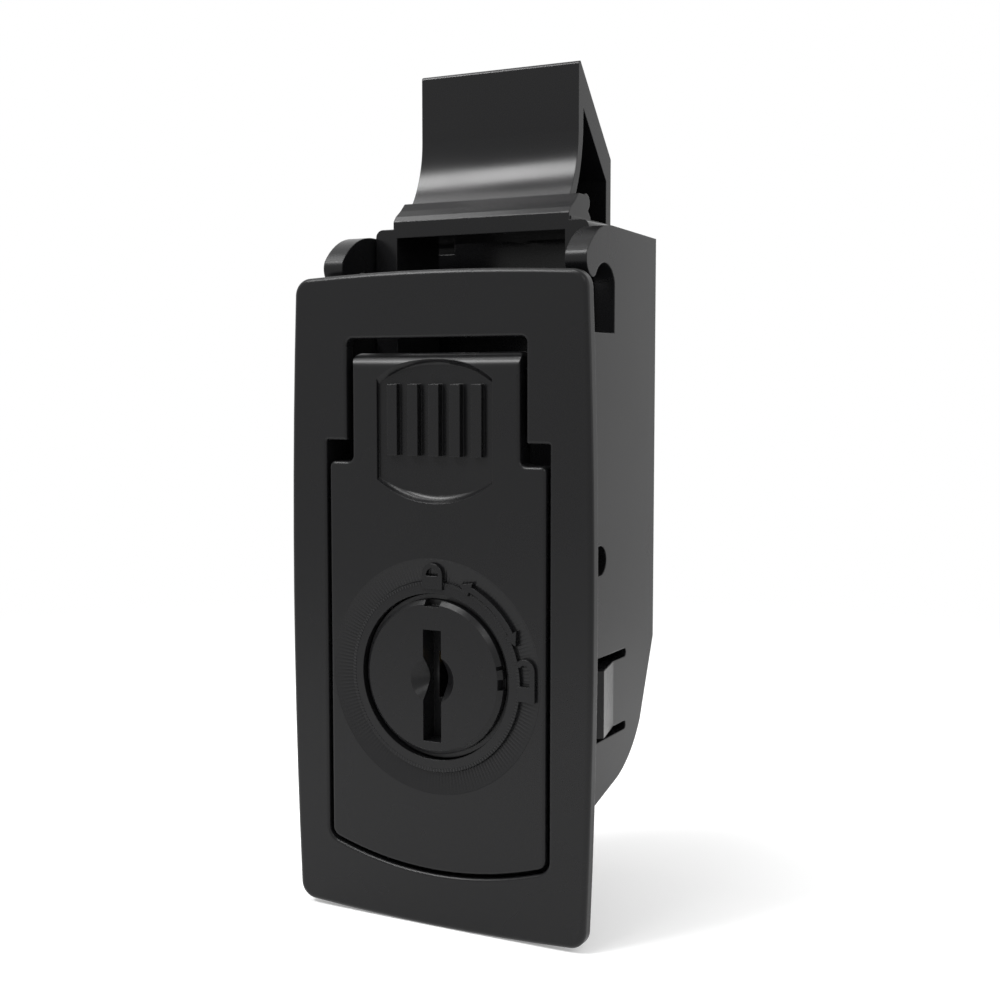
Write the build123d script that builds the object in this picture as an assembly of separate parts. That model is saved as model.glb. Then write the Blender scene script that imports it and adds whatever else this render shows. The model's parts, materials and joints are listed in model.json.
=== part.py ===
from build123d import *
import math
import os

# Push-to-close latch for a thin door panel, snapped into a cut-out from the front.
# All sizes are millimetres. X points right, +Y points into the panel, +Z points up.
# y = 0 is the back plane of the bezel, which rests on the panel, and z = 0 is its mid height.

# Bezel: a thin plate with gently bowed edges
BEZEL_WIDTH = 33.0
BEZEL_HEIGHT = 63.3
BEZEL_THICK = 1.3
BEZEL_SIDE_BOW = 0.7
BEZEL_END_BOW = 0.5
BEZEL_CORNER_R = 1.7
BEZEL_EDGE_R = 0.5

# Opening in the bezel for the lever: a narrow neck above a wide lower part
SHOULDER_WIDTH = 2.4
OPENING_TOP_Z = 25.3
OPENING_STEP_Z = 15.45
OPENING_BOTTOM_Z = -26.4
OPENING_BOTTOM_R = 36.0
OPENING_CORNER_R = 1.4
OPENING_NECK_CORNER_R = 0.6
OPENING_STEP_CORNER_R = 0.15
OPENING_EDGE_R = 0.3

# Housing behind the bezel: two cheeks, a back wall, a curved floor and a shallow pan
HOUSING_WIDTH = 28.8
CHEEK_WALL = 2.2
CHEEK_TOP_Z = 35.5
CHEEK_BEND_Z = -4.9
FLOOR_WALL = 1.2
BACK_WALL = 1.7
BACK_WALL_INSET = 0.4
BACK_WALL_TOP_Z = 24.3
BACK_WALL_LOW_Z = -3.4
FLOOR_KNEE = 3.35
FLOOR_KNEE_DROP = 8.0
FLOOR_MIDDLE = 6.3
FLOOR_MIDDLE_DROP = 11.25
FLOOR_HEEL = 9.2
FLOOR_HEEL_DROP = 12.75
FLOOR_SLOPE = 0.272
PAN_DEPTH = 3.2
PAN_FLOOR = 1.1
PAN_BOTTOM_Z = -28.2
PAN_RISE = 1.6

# Hooks at the top of the cheeks, which reach over the edge of the panel
PANEL_GRIP = 1.55
HOOK_BEAM_Y = 8.26
HOOK_NOTCH_Z = 25.7
HOOK_TIP_Z = 30.76
HOOK_CROWN = 0.3

# Snap tabs cut out of the cheeks, which hold the lower edge of the panel cut-out
TAB_TOP_Z = -5.9
TAB_BOTTOM_Z = -12.3
TAB_ROOT_Y = 11.2
TAB_CREST_Y = 3.5
TAB_RAMP_Y = 8.5
TAB_PROUD = 1.2
TAB_THICK = 1.3
TAB_SLOT = 0.85
TAB_NOSE = 0.9
TAB_WINDOW = 1.6

# Lever, also the push paddle: gaps to the opening, plate and pivot
LEVER_GAP = 0.35
NECK_SIDE_GAP = 0.65
NECK_TOP_GAP = 1.4
SHOULDER_GAP = 2.05
LEVER_PLATE = 2.2
LEVER_TOP_R = 1.5
LEVER_EDGE_R = 0.35
LEVER_NECK_CORNER_R = 0.6
PIVOT_Y = 3.2
PIVOT_Z = 4.25
PIVOT_PIN_R = 1.35
HUB_R = 2.6
LOW_RIB_INSET = 1.6
LOW_RIB_WIDTH = 1.2
LOW_RIB_RISE = 0.7
LOW_RIB_END = 4.5
LEVER_SWING = 29.0

# Finger dish in the neck of the lever, with upright grip ribs on its floor
DISH_WIDTH = 12.6
DISH_TOP_Z = 23.55
DISH_BOTTOM_Z = 9.6
DISH_END_BOW = 2.1
DISH_DEPTH = 0.75
DISH_EDGE_DEPTH = 0.4
DISH_BACKING = 1.0
BACKING_SIDE = 0.8
BACKING_TOP = 1.2
DISH_COVE = 1.2
DISH_BROW = 0.6
DISH_CHAMFER = 0.4
GRIP_RIBS = 5
GRIP_RIB_WIDTH = 1.1
GRIP_RIB_PITCH = 2.3
GRIP_TOP_Z = 20.9
GRIP_BOTTOM_Z = 14.1

# Release gear: forked arms on the lever carry a cross pin up and down
FORK_R = 11.0
ARM_THICK = 2.5
PRONG = 1.5
FORK_END = 0.5
RELEASE_PIN_R = 1.1
PIN_FLAT = 0.3
PIN_CHAMFER = 0.2
GROOVE_DEPTH = 0.8

# Slam bolt
HEAD_INSIDE_LEG = 0.55
BEAD_OVER_LEG = 0.4
BEAD_EDGE_R = 0.4
BEAD_BEVEL_Y = 0.45
BEAD_BEVEL_Z = 0.55
BAR_HEIGHT = 1.65
BOLT_CATCH_Y = 11.9
BOLT_TOP_Z = 52.45
BOLT_FACE_BOTTOM_Z = 45.7
BOLT_SLOPE_END_Z = 43.9
BOLT_SKIN = 1.05
BOLT_SLOPE_WALL = 2.4
BOLT_PLATE = 1.15
BOLT_PLATE_BOTTOM_Z = 12.0
PLATE_UNDER_CHEEK = 0.6
BOLT_WEB = 1.8
TOP_EDGE = 0.4
NECK_DROP = 6.35
NECK_SETBACK = 2.0
BAR_REAR = 1.5
BRIDGE_Z = 35.7
BRIDGE_THICK = 1.3
LEG_THICK = 2.5
LEG_DEPTH = 8.5
LEG_BEHIND_PIN = 2.35
LEG_TOP_RISE = 0.9
LEG_CORNER_R = 0.8
LEG_BOTTOM_Z = 3.0
LEG_CHAMFER = 1.6
SLAM_SPRING_LENGTH = 8.6

# Coil springs: outside diameter, wire and turns
SPRING_OD = 2.3
SPRING_WIRE = 0.36
SPRING_TURNS = 6.0
RETURN_SPRING_OD = 2.7
LEDGE_TOP_Z = -2.2
LEDGE_THICK = 1.2
SPRING_SEAT_MARGIN = 0.2
SPRING_END_GAP = 0.02

# Key lock in the lower part of the lever
LOCK_Z = -7.05
LOCK_BORE_R = 8.05
LOCK_RING_R = 11.4
LOCK_RING_LAND_R = 9.2
LOCK_RING_DEPTH = 0.65
LOCK_BOSS_R = 8.85
LOCK_BOSS_BACK_Y = 7.4
SLEEVE_FRONT_Y = -0.55
SLEEVE_FLANGE_BACK_Y = 1.8
SLEEVE_RIM = 0.45
SLEEVE_FLOOR = 0.8
SLEEVE_R = 7.0
SLEEVE_BACK_Y = 9.3
CHAMBER_R = 5.75
CHAMBER_FRONT_Y = 1.9
CHAMBER_BACK_Y = 8.9
CLIP_THICK = 0.7
CLIP_R = 8.4
CLIP_GROOVE_DEPTH = 0.5
CLIP_MOUTH_HALF = 3.6
PLUG_HEAD_TAPER = 0.4
PLUG_PROUD = 0.4
PLUG_R = 4.6
TAIL_WIDTH = 4.0
STOP_RING_THICK = 0.75
STOP_RING_WALL = 1.9
STOP_ANGLE = 15.0
TONGUE_ANGLE = 11.0
WASHER_THICK = 0.6
CAM_THICK = 1.2
CAM_FLOOR_GAP = 0.85
CAM_WIDTH = 5.0
CAM_EYE_R = 3.8
SCREW_HEAD_R = 2.5
SCREW_HEAD = 1.3
SCREW_R = 1.4
SCREW_LENGTH = 2.3
SCREW_HEAD_ROUND = 0.78
CROSS_HALF = 1.375
CROSS_SLOT_HALF = 0.25
CROSS_DEPTH = 0.715

# Key slot: a pocket in the face, a deeper Z-shaped way and a lead-in cone
KEY_POCKET_WIDTH = 2.0
KEY_POCKET_HEIGHT = 10.8
KEY_POCKET_DEPTH = 2.1
NOTCH_HALF = 0.85
NOTCH_DEPTH = 0.6
NICK_DEPTH = 0.35
NICKS = [(-0.55, 0.45), (1.35, 1.7)]
KEY_DROP = 0.8
KEYWAY_WIDTH = 1.4
KEYWAY_FOOT_WIDTH = 0.6
KEYWAY_TOP = 2.2
KEYWAY_STEP = -2.3
KEYWAY_FOOT = -4.25
KEYWAY_END = 0.4
KEY_CONE_R = 2.36
KEY_CONE_TIP_R = 0.2
KEY_CONE_RISE = 0.15

# Wafers of the lock, and how far the key lifts each
WAFER_TRAVEL = [0.9, 0.5, 0.7, 0.4, 0.8]
WAFER_PITCH = 1.4
WAFER_THICK = 0.9
WAFER_WIDTH = 4.6
WAFER_WINDOW = 5.25
WAFER_WINDOW_WIDTH = 2.0
WAFER_EAR = 1.0
WAFER_EAR_HEIGHT = 0.7
EAR_SLOT_BELOW = 0.5
EAR_SLOT_ABOVE = 1.4
WAFER_FIRST_Y = 2.2
WAFER_SPRING_OD = 0.9
WAFER_SPRING_WIRE = 0.16
WAFER_SPRING_LENGTH = 2.3
WAFER_SPRING_RISE = 0.4
WAFER_SPRING_TURNS = 4.0

# Clearances
RUN = 0.05
SLIDE = 0.25
FIT = 0.1
PIVOT_SLOT = 0.07
PIVOT_SLOT_LENGTH = 2.0
BOLT_BACK_GAP = 0.45
PLATE_GAP = 0.35
FORK_SIDE_GAP = 0.15
SPRING_SIDE_GAP = 0.35

# Derived places
FACE_Y = -BEZEL_THICK
CHEEK_OUT = HOUSING_WIDTH / 2
CHEEK_IN = CHEEK_OUT - CHEEK_WALL
OPENING_HALF = CHEEK_IN
LEVER_HALF = OPENING_HALF - LEVER_GAP
NECK_OPENING_HALF = OPENING_HALF - SHOULDER_WIDTH
NECK_HALF = NECK_OPENING_HALF - NECK_SIDE_GAP
LEVER_BACK_Y = FACE_Y + LEVER_PLATE
HALF_SWING = math.radians(LEVER_SWING / 2)
PIN_Y = PIVOT_Y + FORK_R * math.cos(HALF_SWING)
PIN_Z = PIVOT_Z + FORK_R * math.sin(HALF_SWING)
PIN_TRAVEL = 2 * FORK_R * math.sin(HALF_SWING)
LEG_REAR_Y = PIN_Y + LEG_BEHIND_PIN
LEG_FRONT_Y = LEG_REAR_Y - LEG_DEPTH
BACK_IN_Y = LEG_REAR_Y + BOLT_BACK_GAP
BACK_OUT_Y = BACK_IN_Y + BACK_WALL
HOUSING_DEPTH = BACK_OUT_Y + BACK_WALL_INSET
PLATE_FRONT_Y = BACK_OUT_Y + PLATE_GAP
PLATE_REAR_Y = PLATE_FRONT_Y + BOLT_PLATE
PLATE_TOP_Z = CHEEK_TOP_Z - PLATE_UNDER_CHEEK
LEG_OUT = CHEEK_IN - SLIDE
LEG_IN = LEG_OUT - LEG_THICK
LEG_X = (LEG_OUT + LEG_IN) / 2
HEAD_HALF = LEG_IN - HEAD_INSIDE_LEG
BEAD_HALF = LEG_IN + BEAD_OVER_LEG
RETURN_SPRING_X = LEG_IN - RETURN_SPRING_OD / 2 - SPRING_SIDE_GAP
ARM_INNER_X = RETURN_SPRING_X - RETURN_SPRING_OD / 2 - SPRING_SIDE_GAP - ARM_THICK
SLOT_HALF = RELEASE_PIN_R + FORK_SIDE_GAP
SLEEVE_CUP_Y = SLEEVE_FLANGE_BACK_Y - SLEEVE_FLOOR
PLUG_FACE_Y = FACE_Y - PLUG_PROUD
PLUG_HEAD_R = LOCK_BORE_R - FIT - SLEEVE_RIM - RUN
PLUG_HEAD_BACK_Y = SLEEVE_CUP_Y - FIT
PLUG_BACK_Y = SLEEVE_BACK_Y + 0.1
WASHER_Y = PLUG_BACK_Y + FIT
CAM_Y = WASHER_Y + WASHER_THICK + FIT
TAIL_BACK_Y = CAM_Y + CAM_THICK - FIT
KEY_MID_Z = LOCK_Z - KEY_DROP


def front_slab(face, y_front, y_back):
    """A face drawn in x and z, carried from y_front to y_back."""
    plane = Plane(origin=(0, y_back, 0), x_dir=(1, 0, 0), z_dir=(0, -1, 0))
    return extrude(plane * face, amount=y_back - y_front)


def side_slab(face, x_low, x_high):
    """A face drawn in y and z, carried from x_low to x_high."""
    plane = Plane(origin=(x_low, 0, 0), x_dir=(0, 1, 0), z_dir=(1, 0, 0))
    return extrude(plane * face, amount=x_high - x_low)


def block(x_low, x_high, y_low, y_high, z_low, z_high):
    """An upright box between two corners."""
    size = (x_high - x_low, y_high - y_low, z_high - z_low)
    middle = ((x_low + x_high) / 2, (y_low + y_high) / 2, (z_low + z_high) / 2)
    return Pos(*middle) * Box(*size)


def rod_x(radius, x_low, x_high, y, z):
    """A cylinder along X."""
    return Pos((x_low + x_high) / 2, y, z) * Rot(0, 90, 0) * Cylinder(radius, x_high - x_low)


def rod_y(radius, y_low, y_high, x=0.0, z=LOCK_Z):
    """A cylinder along Y, on the lock's axis unless told otherwise."""
    return Pos(x, (y_low + y_high) / 2, z) * Rot(90, 0, 0) * Cylinder(radius, y_high - y_low)


def both_sides(solid):
    """A solid and its mirror image across the middle plane."""
    return [solid, mirror(solid, about=Plane.YZ)]


def bottom_z(half, radius, lowest):
    """Height of a bottom arc at a distance from the middle."""
    return lowest + radius - math.sqrt(radius * radius - half * half)


def coil(outer_d, wire_d, turns, x, y, z_low, z_high):
    """A round-wire compression spring standing along Z between two heights."""
    radius = (outer_d - wire_d) / 2
    height = z_high - z_low - wire_d
    path = Helix(pitch=height / turns, height=height, radius=radius)
    ring = Plane(origin=path @ 0, z_dir=path % 0) * Circle(wire_d / 2)
    return Pos(x, y, z_low + wire_d / 2) * sweep(ring, path=path)


def t_outline(neck_half, top, step, half, lowest, radius, corner_r, top_r, inner_r, shoulder_r):
    """The T shape shared by the opening and the lever: a neck over a wide lower part."""
    side = bottom_z(half, radius, lowest)
    right = [(neck_half, top), (neck_half, step), (half, step), (half, side)]
    left = [(-x, z) for x, z in reversed(right)]
    edges = [Line(right[i], right[i + 1]) for i in range(3)]
    edges += [ThreePointArc((half, side), (0, lowest), (-half, side))]
    edges += [Line(left[i], left[i + 1]) for i in range(3)]
    edges += [Line(left[3], right[0])]
    face = make_face(edges)

    def near(points):
        return [v for v in face.vertices()
                if any(abs(v.X - x) + abs(v.Y - z) < 0.01 for x, z in points)]

    face = fillet(near([(half, side), (-half, side)]), corner_r)
    face = fillet(near([(neck_half, top), (-neck_half, top)]), top_r)
    face = fillet(near([(neck_half, step), (-neck_half, step)]), inner_r)
    return fillet(near([(half, step), (-half, step)]), shoulder_r)


def bezel_plate():
    """The front plate: four bowed edges, round corners and a softened front rim."""
    half_w = BEZEL_WIDTH / 2
    half_h = BEZEL_HEIGHT / 2
    cx = half_w - BEZEL_SIDE_BOW
    cz = half_h - BEZEL_END_BOW
    edges = [
        ThreePointArc((-cx, cz), (0, half_h), (cx, cz)),
        ThreePointArc((cx, cz), (half_w, 0), (cx, -cz)),
        ThreePointArc((cx, -cz), (0, -half_h), (-cx, -cz)),
        ThreePointArc((-cx, -cz), (-half_w, 0), (-cx, cz)),
    ]
    outline = make_face(edges)
    outline = fillet(outline.vertices(), BEZEL_CORNER_R)
    plate = front_slab(outline, FACE_Y, 0)
    rim = plate.faces().sort_by(Axis.Y)[0].edges()
    return fillet(rim, BEZEL_EDGE_R)


def floor_line(inset):
    """The lower edge of the cheeks from back to front, moved inwards by inset."""
    back_y = HOUSING_DEPTH - inset
    bend = (back_y, CHEEK_BEND_Z)
    knee = (HOUSING_DEPTH - FLOOR_KNEE - 0.88 * inset, CHEEK_BEND_Z - FLOOR_KNEE_DROP + 0.45 * inset)
    middle = (HOUSING_DEPTH - FLOOR_MIDDLE - 0.6 * inset, CHEEK_BEND_Z - FLOOR_MIDDLE_DROP + 0.8 * inset)
    heel = (HOUSING_DEPTH - FLOOR_HEEL - 0.3 * inset, CHEEK_BEND_Z - FLOOR_HEEL_DROP + 0.96 * inset)
    toe = (0.0, heel[1] - FLOOR_SLOPE * heel[0])
    return bend, knee, middle, heel, toe


def floor_z(y):
    """Height of the inside of the curved floor, at a depth between its heel and its knee."""
    knee, middle, heel = floor_line(FLOOR_WALL)[1:4]
    arc = ThreePointArc(knee, middle, heel)
    centre = arc.arc_center
    return centre.Y - math.sqrt(arc.radius ** 2 - (y - centre.X) ** 2)


def cheek_face():
    """Side outline of one cheek, from the floor up to the hook over the panel."""
    bend, knee, middle, heel, toe = floor_line(0)
    crown = (HOOK_BEAM_Y - 0.68, CHEEK_TOP_Z + HOOK_CROWN)
    brow = (PANEL_GRIP + 0.4, HOOK_TIP_Z + 2.34)
    nose = (PANEL_GRIP + 0.24, HOOK_TIP_Z + 1.4)
    tip = (PANEL_GRIP + 1.52, HOOK_TIP_Z)
    lip = (tip[0] + 0.85, HOOK_TIP_Z + 0.4)
    throat = (HOOK_BEAM_Y, HOOK_TIP_Z - 0.2)
    edges = [
        Line(toe, heel),
        ThreePointArc(heel, middle, knee),
        Line(knee, bend),
        Line(bend, (HOUSING_DEPTH, CHEEK_TOP_Z)),
        Line((HOUSING_DEPTH, CHEEK_TOP_Z), crown),
        TangentArc(crown, brow, tangent=(crown[0] - HOUSING_DEPTH, crown[1] - CHEEK_TOP_Z)),
        ThreePointArc(brow, nose, tip),
        ThreePointArc(tip, (tip[0] + 0.45, HOOK_TIP_Z + 0.05), lip),
        ThreePointArc(lip, (HOOK_BEAM_Y - 1.8, HOOK_TIP_Z + 1.42), throat),
        Line(throat, (HOOK_BEAM_Y, HOOK_NOTCH_Z)),
        Line((HOOK_BEAM_Y, HOOK_NOTCH_Z), (0, HOOK_NOTCH_Z)),
        Line((0, HOOK_NOTCH_Z), toe),
    ]
    return make_face(edges)


def snap_tab():
    """One springy tab on the right cheek: its window, two slots and the ramped tongue."""
    slot_end = TAB_SLOT / 2
    window_front = TAB_CREST_Y - TAB_WINDOW
    nose = TAB_CREST_Y - TAB_NOSE
    high = block(CHEEK_IN, CHEEK_OUT, window_front, TAB_ROOT_Y, TAB_TOP_Z, TAB_TOP_Z + TAB_SLOT)
    low = block(CHEEK_IN, CHEEK_OUT, window_front, TAB_ROOT_Y, TAB_BOTTOM_Z - TAB_SLOT, TAB_BOTTOM_Z)
    ends = [rod_x(slot_end, CHEEK_IN, CHEEK_OUT, TAB_ROOT_Y, z)
            for z in (TAB_TOP_Z + slot_end, TAB_BOTTOM_Z - slot_end)]
    window = block(CHEEK_IN, CHEEK_OUT, window_front, nose, TAB_BOTTOM_Z, TAB_TOP_Z)
    relief = block(CHEEK_IN, CHEEK_OUT - TAB_THICK, window_front, TAB_ROOT_Y, TAB_BOTTOM_Z, TAB_TOP_Z)
    crest = CHEEK_OUT + TAB_PROUD
    ramp = Polyline((CHEEK_OUT - TAB_THICK, nose), (CHEEK_OUT, nose), (crest, TAB_CREST_Y),
                    (CHEEK_OUT, TAB_RAMP_Y), (CHEEK_OUT - TAB_THICK, TAB_RAMP_Y), close=True)
    height = TAB_TOP_Z - TAB_BOTTOM_Z
    tongue = Pos(0, 0, TAB_BOTTOM_Z) * extrude(make_face(ramp), amount=height)
    return high + low + ends + window + relief, tongue


def make_housing():
    """Bezel, cheeks, hooks, snap tabs, back wall, floor and pan in one moulding."""
    cheek = side_slab(cheek_face(), CHEEK_IN, CHEEK_OUT)
    body = bezel_plate() + both_sides(cheek)

    out_line = floor_line(0)
    in_line = floor_line(FLOOR_WALL)
    toe_y = PAN_DEPTH / 2
    toe_out = (toe_y, out_line[4][1] + FLOOR_SLOPE * toe_y)
    toe_in = (toe_y, in_line[4][1] + FLOOR_SLOPE * toe_y)
    floor_edges = [
        Line(toe_out, out_line[3]),
        ThreePointArc(out_line[3], out_line[2], out_line[1]),
        Line(out_line[1], out_line[0]),
        Line(out_line[0], (BACK_OUT_Y, BACK_WALL_LOW_Z)),
        Line((BACK_OUT_Y, BACK_WALL_LOW_Z), (BACK_OUT_Y, BACK_WALL_TOP_Z)),
        Line((BACK_OUT_Y, BACK_WALL_TOP_Z), (BACK_IN_Y, BACK_WALL_TOP_Z)),
        Line((BACK_IN_Y, BACK_WALL_TOP_Z), (BACK_IN_Y, BACK_WALL_LOW_Z)),
        Line((BACK_IN_Y, BACK_WALL_LOW_Z), in_line[0]),
        Line(in_line[0], in_line[1]),
        ThreePointArc(in_line[1], in_line[2], in_line[3]),
        Line(in_line[3], toe_in),
        Line(toe_in, toe_out),
    ]
    body += side_slab(make_face(floor_edges), -CHEEK_IN - FIT, CHEEK_IN + FIT)

    pan_top = out_line[4][1] + PAN_RISE
    pan = block(-CHEEK_OUT, CHEEK_OUT, 0, PAN_DEPTH, PAN_BOTTOM_Z, pan_top)
    pan = fillet(pan.edges().filter_by(Axis.Y).sort_by(Axis.Z)[:2], BEZEL_CORNER_R)
    body += pan

    spring_side = RETURN_SPRING_OD / 2 + SPRING_SEAT_MARGIN
    ledge = block(RETURN_SPRING_X - spring_side, LEG_IN - SLIDE, PIN_Y - spring_side,
                  BACK_IN_Y + FIT, LEDGE_TOP_Z - LEDGE_THICK, LEDGE_TOP_Z)
    body += both_sides(ledge)

    opening = t_outline(NECK_OPENING_HALF, OPENING_TOP_Z, OPENING_STEP_Z, OPENING_HALF,
                        OPENING_BOTTOM_Z, OPENING_BOTTOM_R, OPENING_CORNER_R,
                        OPENING_NECK_CORNER_R, OPENING_STEP_CORNER_R, OPENING_STEP_CORNER_R)
    body -= front_slab(opening, FACE_Y - 1, PAN_DEPTH - PAN_FLOOR)
    front = body.faces().sort_by(Axis.Y)[0]
    body = fillet(front.inner_wires()[0].edges(), OPENING_EDGE_R)
    above_floor = block(-CHEEK_IN, CHEEK_IN, 0, PAN_DEPTH + 1, pan_top - PAN_RISE + FIT + FLOOR_WALL,
                        pan_top + 1)
    body -= above_floor

    tab_cut, tongue = snap_tab()
    for cut in both_sides(tab_cut):
        body -= cut
    body += both_sides(tongue)

    slot_r = PIVOT_PIN_R + PIVOT_SLOT
    for side in (-1, 1):
        low, high = sorted((side * (CHEEK_IN - 1), side * (CHEEK_OUT + 1)))
        slot = rod_x(slot_r, low, high, PIVOT_Y, PIVOT_Z)
        slot += rod_x(slot_r, low, high, PIVOT_Y + PIVOT_SLOT_LENGTH, PIVOT_Z)
        slot += block(low, high, PIVOT_Y, PIVOT_Y + PIVOT_SLOT_LENGTH, PIVOT_Z - slot_r, PIVOT_Z + slot_r)
        body -= slot

    groove_r = RELEASE_PIN_R + SLIDE
    for side in (-1, 1):
        low, high = sorted((side * (CHEEK_IN - 1), side * (CHEEK_IN + GROOVE_DEPTH)))
        groove = block(low, high, PIN_Y - groove_r, PIN_Y + groove_r, PIN_Z - PIN_TRAVEL, PIN_Z)
        groove += rod_x(groove_r, low, high, PIN_Y, PIN_Z - PIN_TRAVEL)
        groove += rod_x(groove_r, low, high, PIN_Y, PIN_Z)
        body -= groove
    return body


def dish_recess():
    """The hollow of the finger dish: a floor curved across, with bowed top and bottom edges."""
    half = DISH_WIDTH / 2
    top_side = DISH_TOP_Z - DISH_END_BOW
    bottom_side = DISH_BOTTOM_Z + DISH_END_BOW
    outline = make_face([
        ThreePointArc((-half, top_side), (0, DISH_TOP_Z), (half, top_side)),
        Line((half, top_side), (half, bottom_side)),
        ThreePointArc((half, bottom_side), (0, DISH_BOTTOM_Z), (-half, bottom_side)),
        Line((-half, bottom_side), (-half, top_side)),
    ])
    column = front_slab(outline, FACE_Y - 1, FACE_Y + DISH_DEPTH + 1)
    edge_y = FACE_Y + DISH_EDGE_DEPTH
    deep_y = FACE_Y + DISH_DEPTH
    across = make_face([
        Line((-half - 1, FACE_Y - 1), (half + 1, FACE_Y - 1)),
        Line((half + 1, FACE_Y - 1), (half + 1, edge_y)),
        Line((half + 1, edge_y), (half, edge_y)),
        ThreePointArc((half, edge_y), (0, deep_y), (-half, edge_y)),
        Line((-half, edge_y), (-half - 1, edge_y)),
        Line((-half - 1, edge_y), (-half - 1, FACE_Y - 1)),
    ])
    trough = Pos(0, 0, DISH_BOTTOM_Z - 1) * extrude(across, amount=DISH_TOP_Z - DISH_BOTTOM_Z + 2)
    bow_r = (half * half + DISH_END_BOW * DISH_END_BOW) / (2 * DISH_END_BOW)
    low = dish_end(bow_r, DISH_COVE, 0.0, DISH_BOTTOM_Z + bow_r)
    high = dish_end(bow_r, DISH_BROW, DISH_CHAMFER, DISH_TOP_Z - bow_r)
    return column & trough & low & high


def dish_end(radius, cove, bevel, centre_z):
    """A round plug whose side slopes in like the bowed end of the dish: a bevel, then a cove."""
    deep_y = FACE_Y + DISH_DEPTH
    wide = radius - bevel
    foot = wide - cove
    start_y = FACE_Y + bevel
    lean = math.sqrt(0.5)
    edges = [
        Line((0, FACE_Y - 1), (radius, FACE_Y - 1)),
        Line((radius, FACE_Y - 1), (radius, FACE_Y)),
        Line((radius, FACE_Y), (wide, start_y)) if bevel else None,
        ThreePointArc((wide, start_y), (foot + cove * lean, start_y + (deep_y - start_y) * lean),
                      (foot, deep_y)),
        Line((foot, deep_y), (foot, deep_y + 1)),
        Line((foot, deep_y + 1), (0, deep_y + 1)),
        Line((0, deep_y + 1), (0, FACE_Y - 1)),
    ]
    profile = make_face([edge for edge in edges if edge])
    return Pos(0, 0, centre_z) * revolve(profile, axis=Axis.Y)


def grip_ribs():
    """Upright ribs on the dish floor, level with the face of the lever."""
    ribs = []
    for index in range(GRIP_RIBS):
        x = (index - (GRIP_RIBS - 1) / 2) * GRIP_RIB_PITCH
        ribs.append(block(x - GRIP_RIB_WIDTH / 2, x + GRIP_RIB_WIDTH / 2, FACE_Y,
                          LEVER_BACK_Y, GRIP_BOTTOM_Z, GRIP_TOP_Z))
    return ribs


def fork_arm():
    """One arm behind the lever, ending in a fork that is open along its length."""
    reach = FORK_R + RELEASE_PIN_R + FORK_END
    half = SLOT_HALF + PRONG
    bar = Pos(0, reach / 2, 0) * Box(ARM_THICK, reach, 2 * half)
    bar = fillet(bar.edges().filter_by(Axis.X).sort_by(Axis.Y)[-2:], PRONG * 0.6)
    inner_end = FORK_R * math.cos(HALF_SWING) - FORK_SIDE_GAP
    slot = Pos(0, inner_end + reach / 2, 0) * Box(ARM_THICK + 1, reach, 2 * SLOT_HALF)
    slot += rod_x(SLOT_HALF, -ARM_THICK, ARM_THICK, inner_end, 0)
    arm = Rot(LEVER_SWING / 2, 0, 0) * (bar - slot)
    return Pos(ARM_INNER_X + ARM_THICK / 2, PIVOT_Y, PIVOT_Z) * arm


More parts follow.
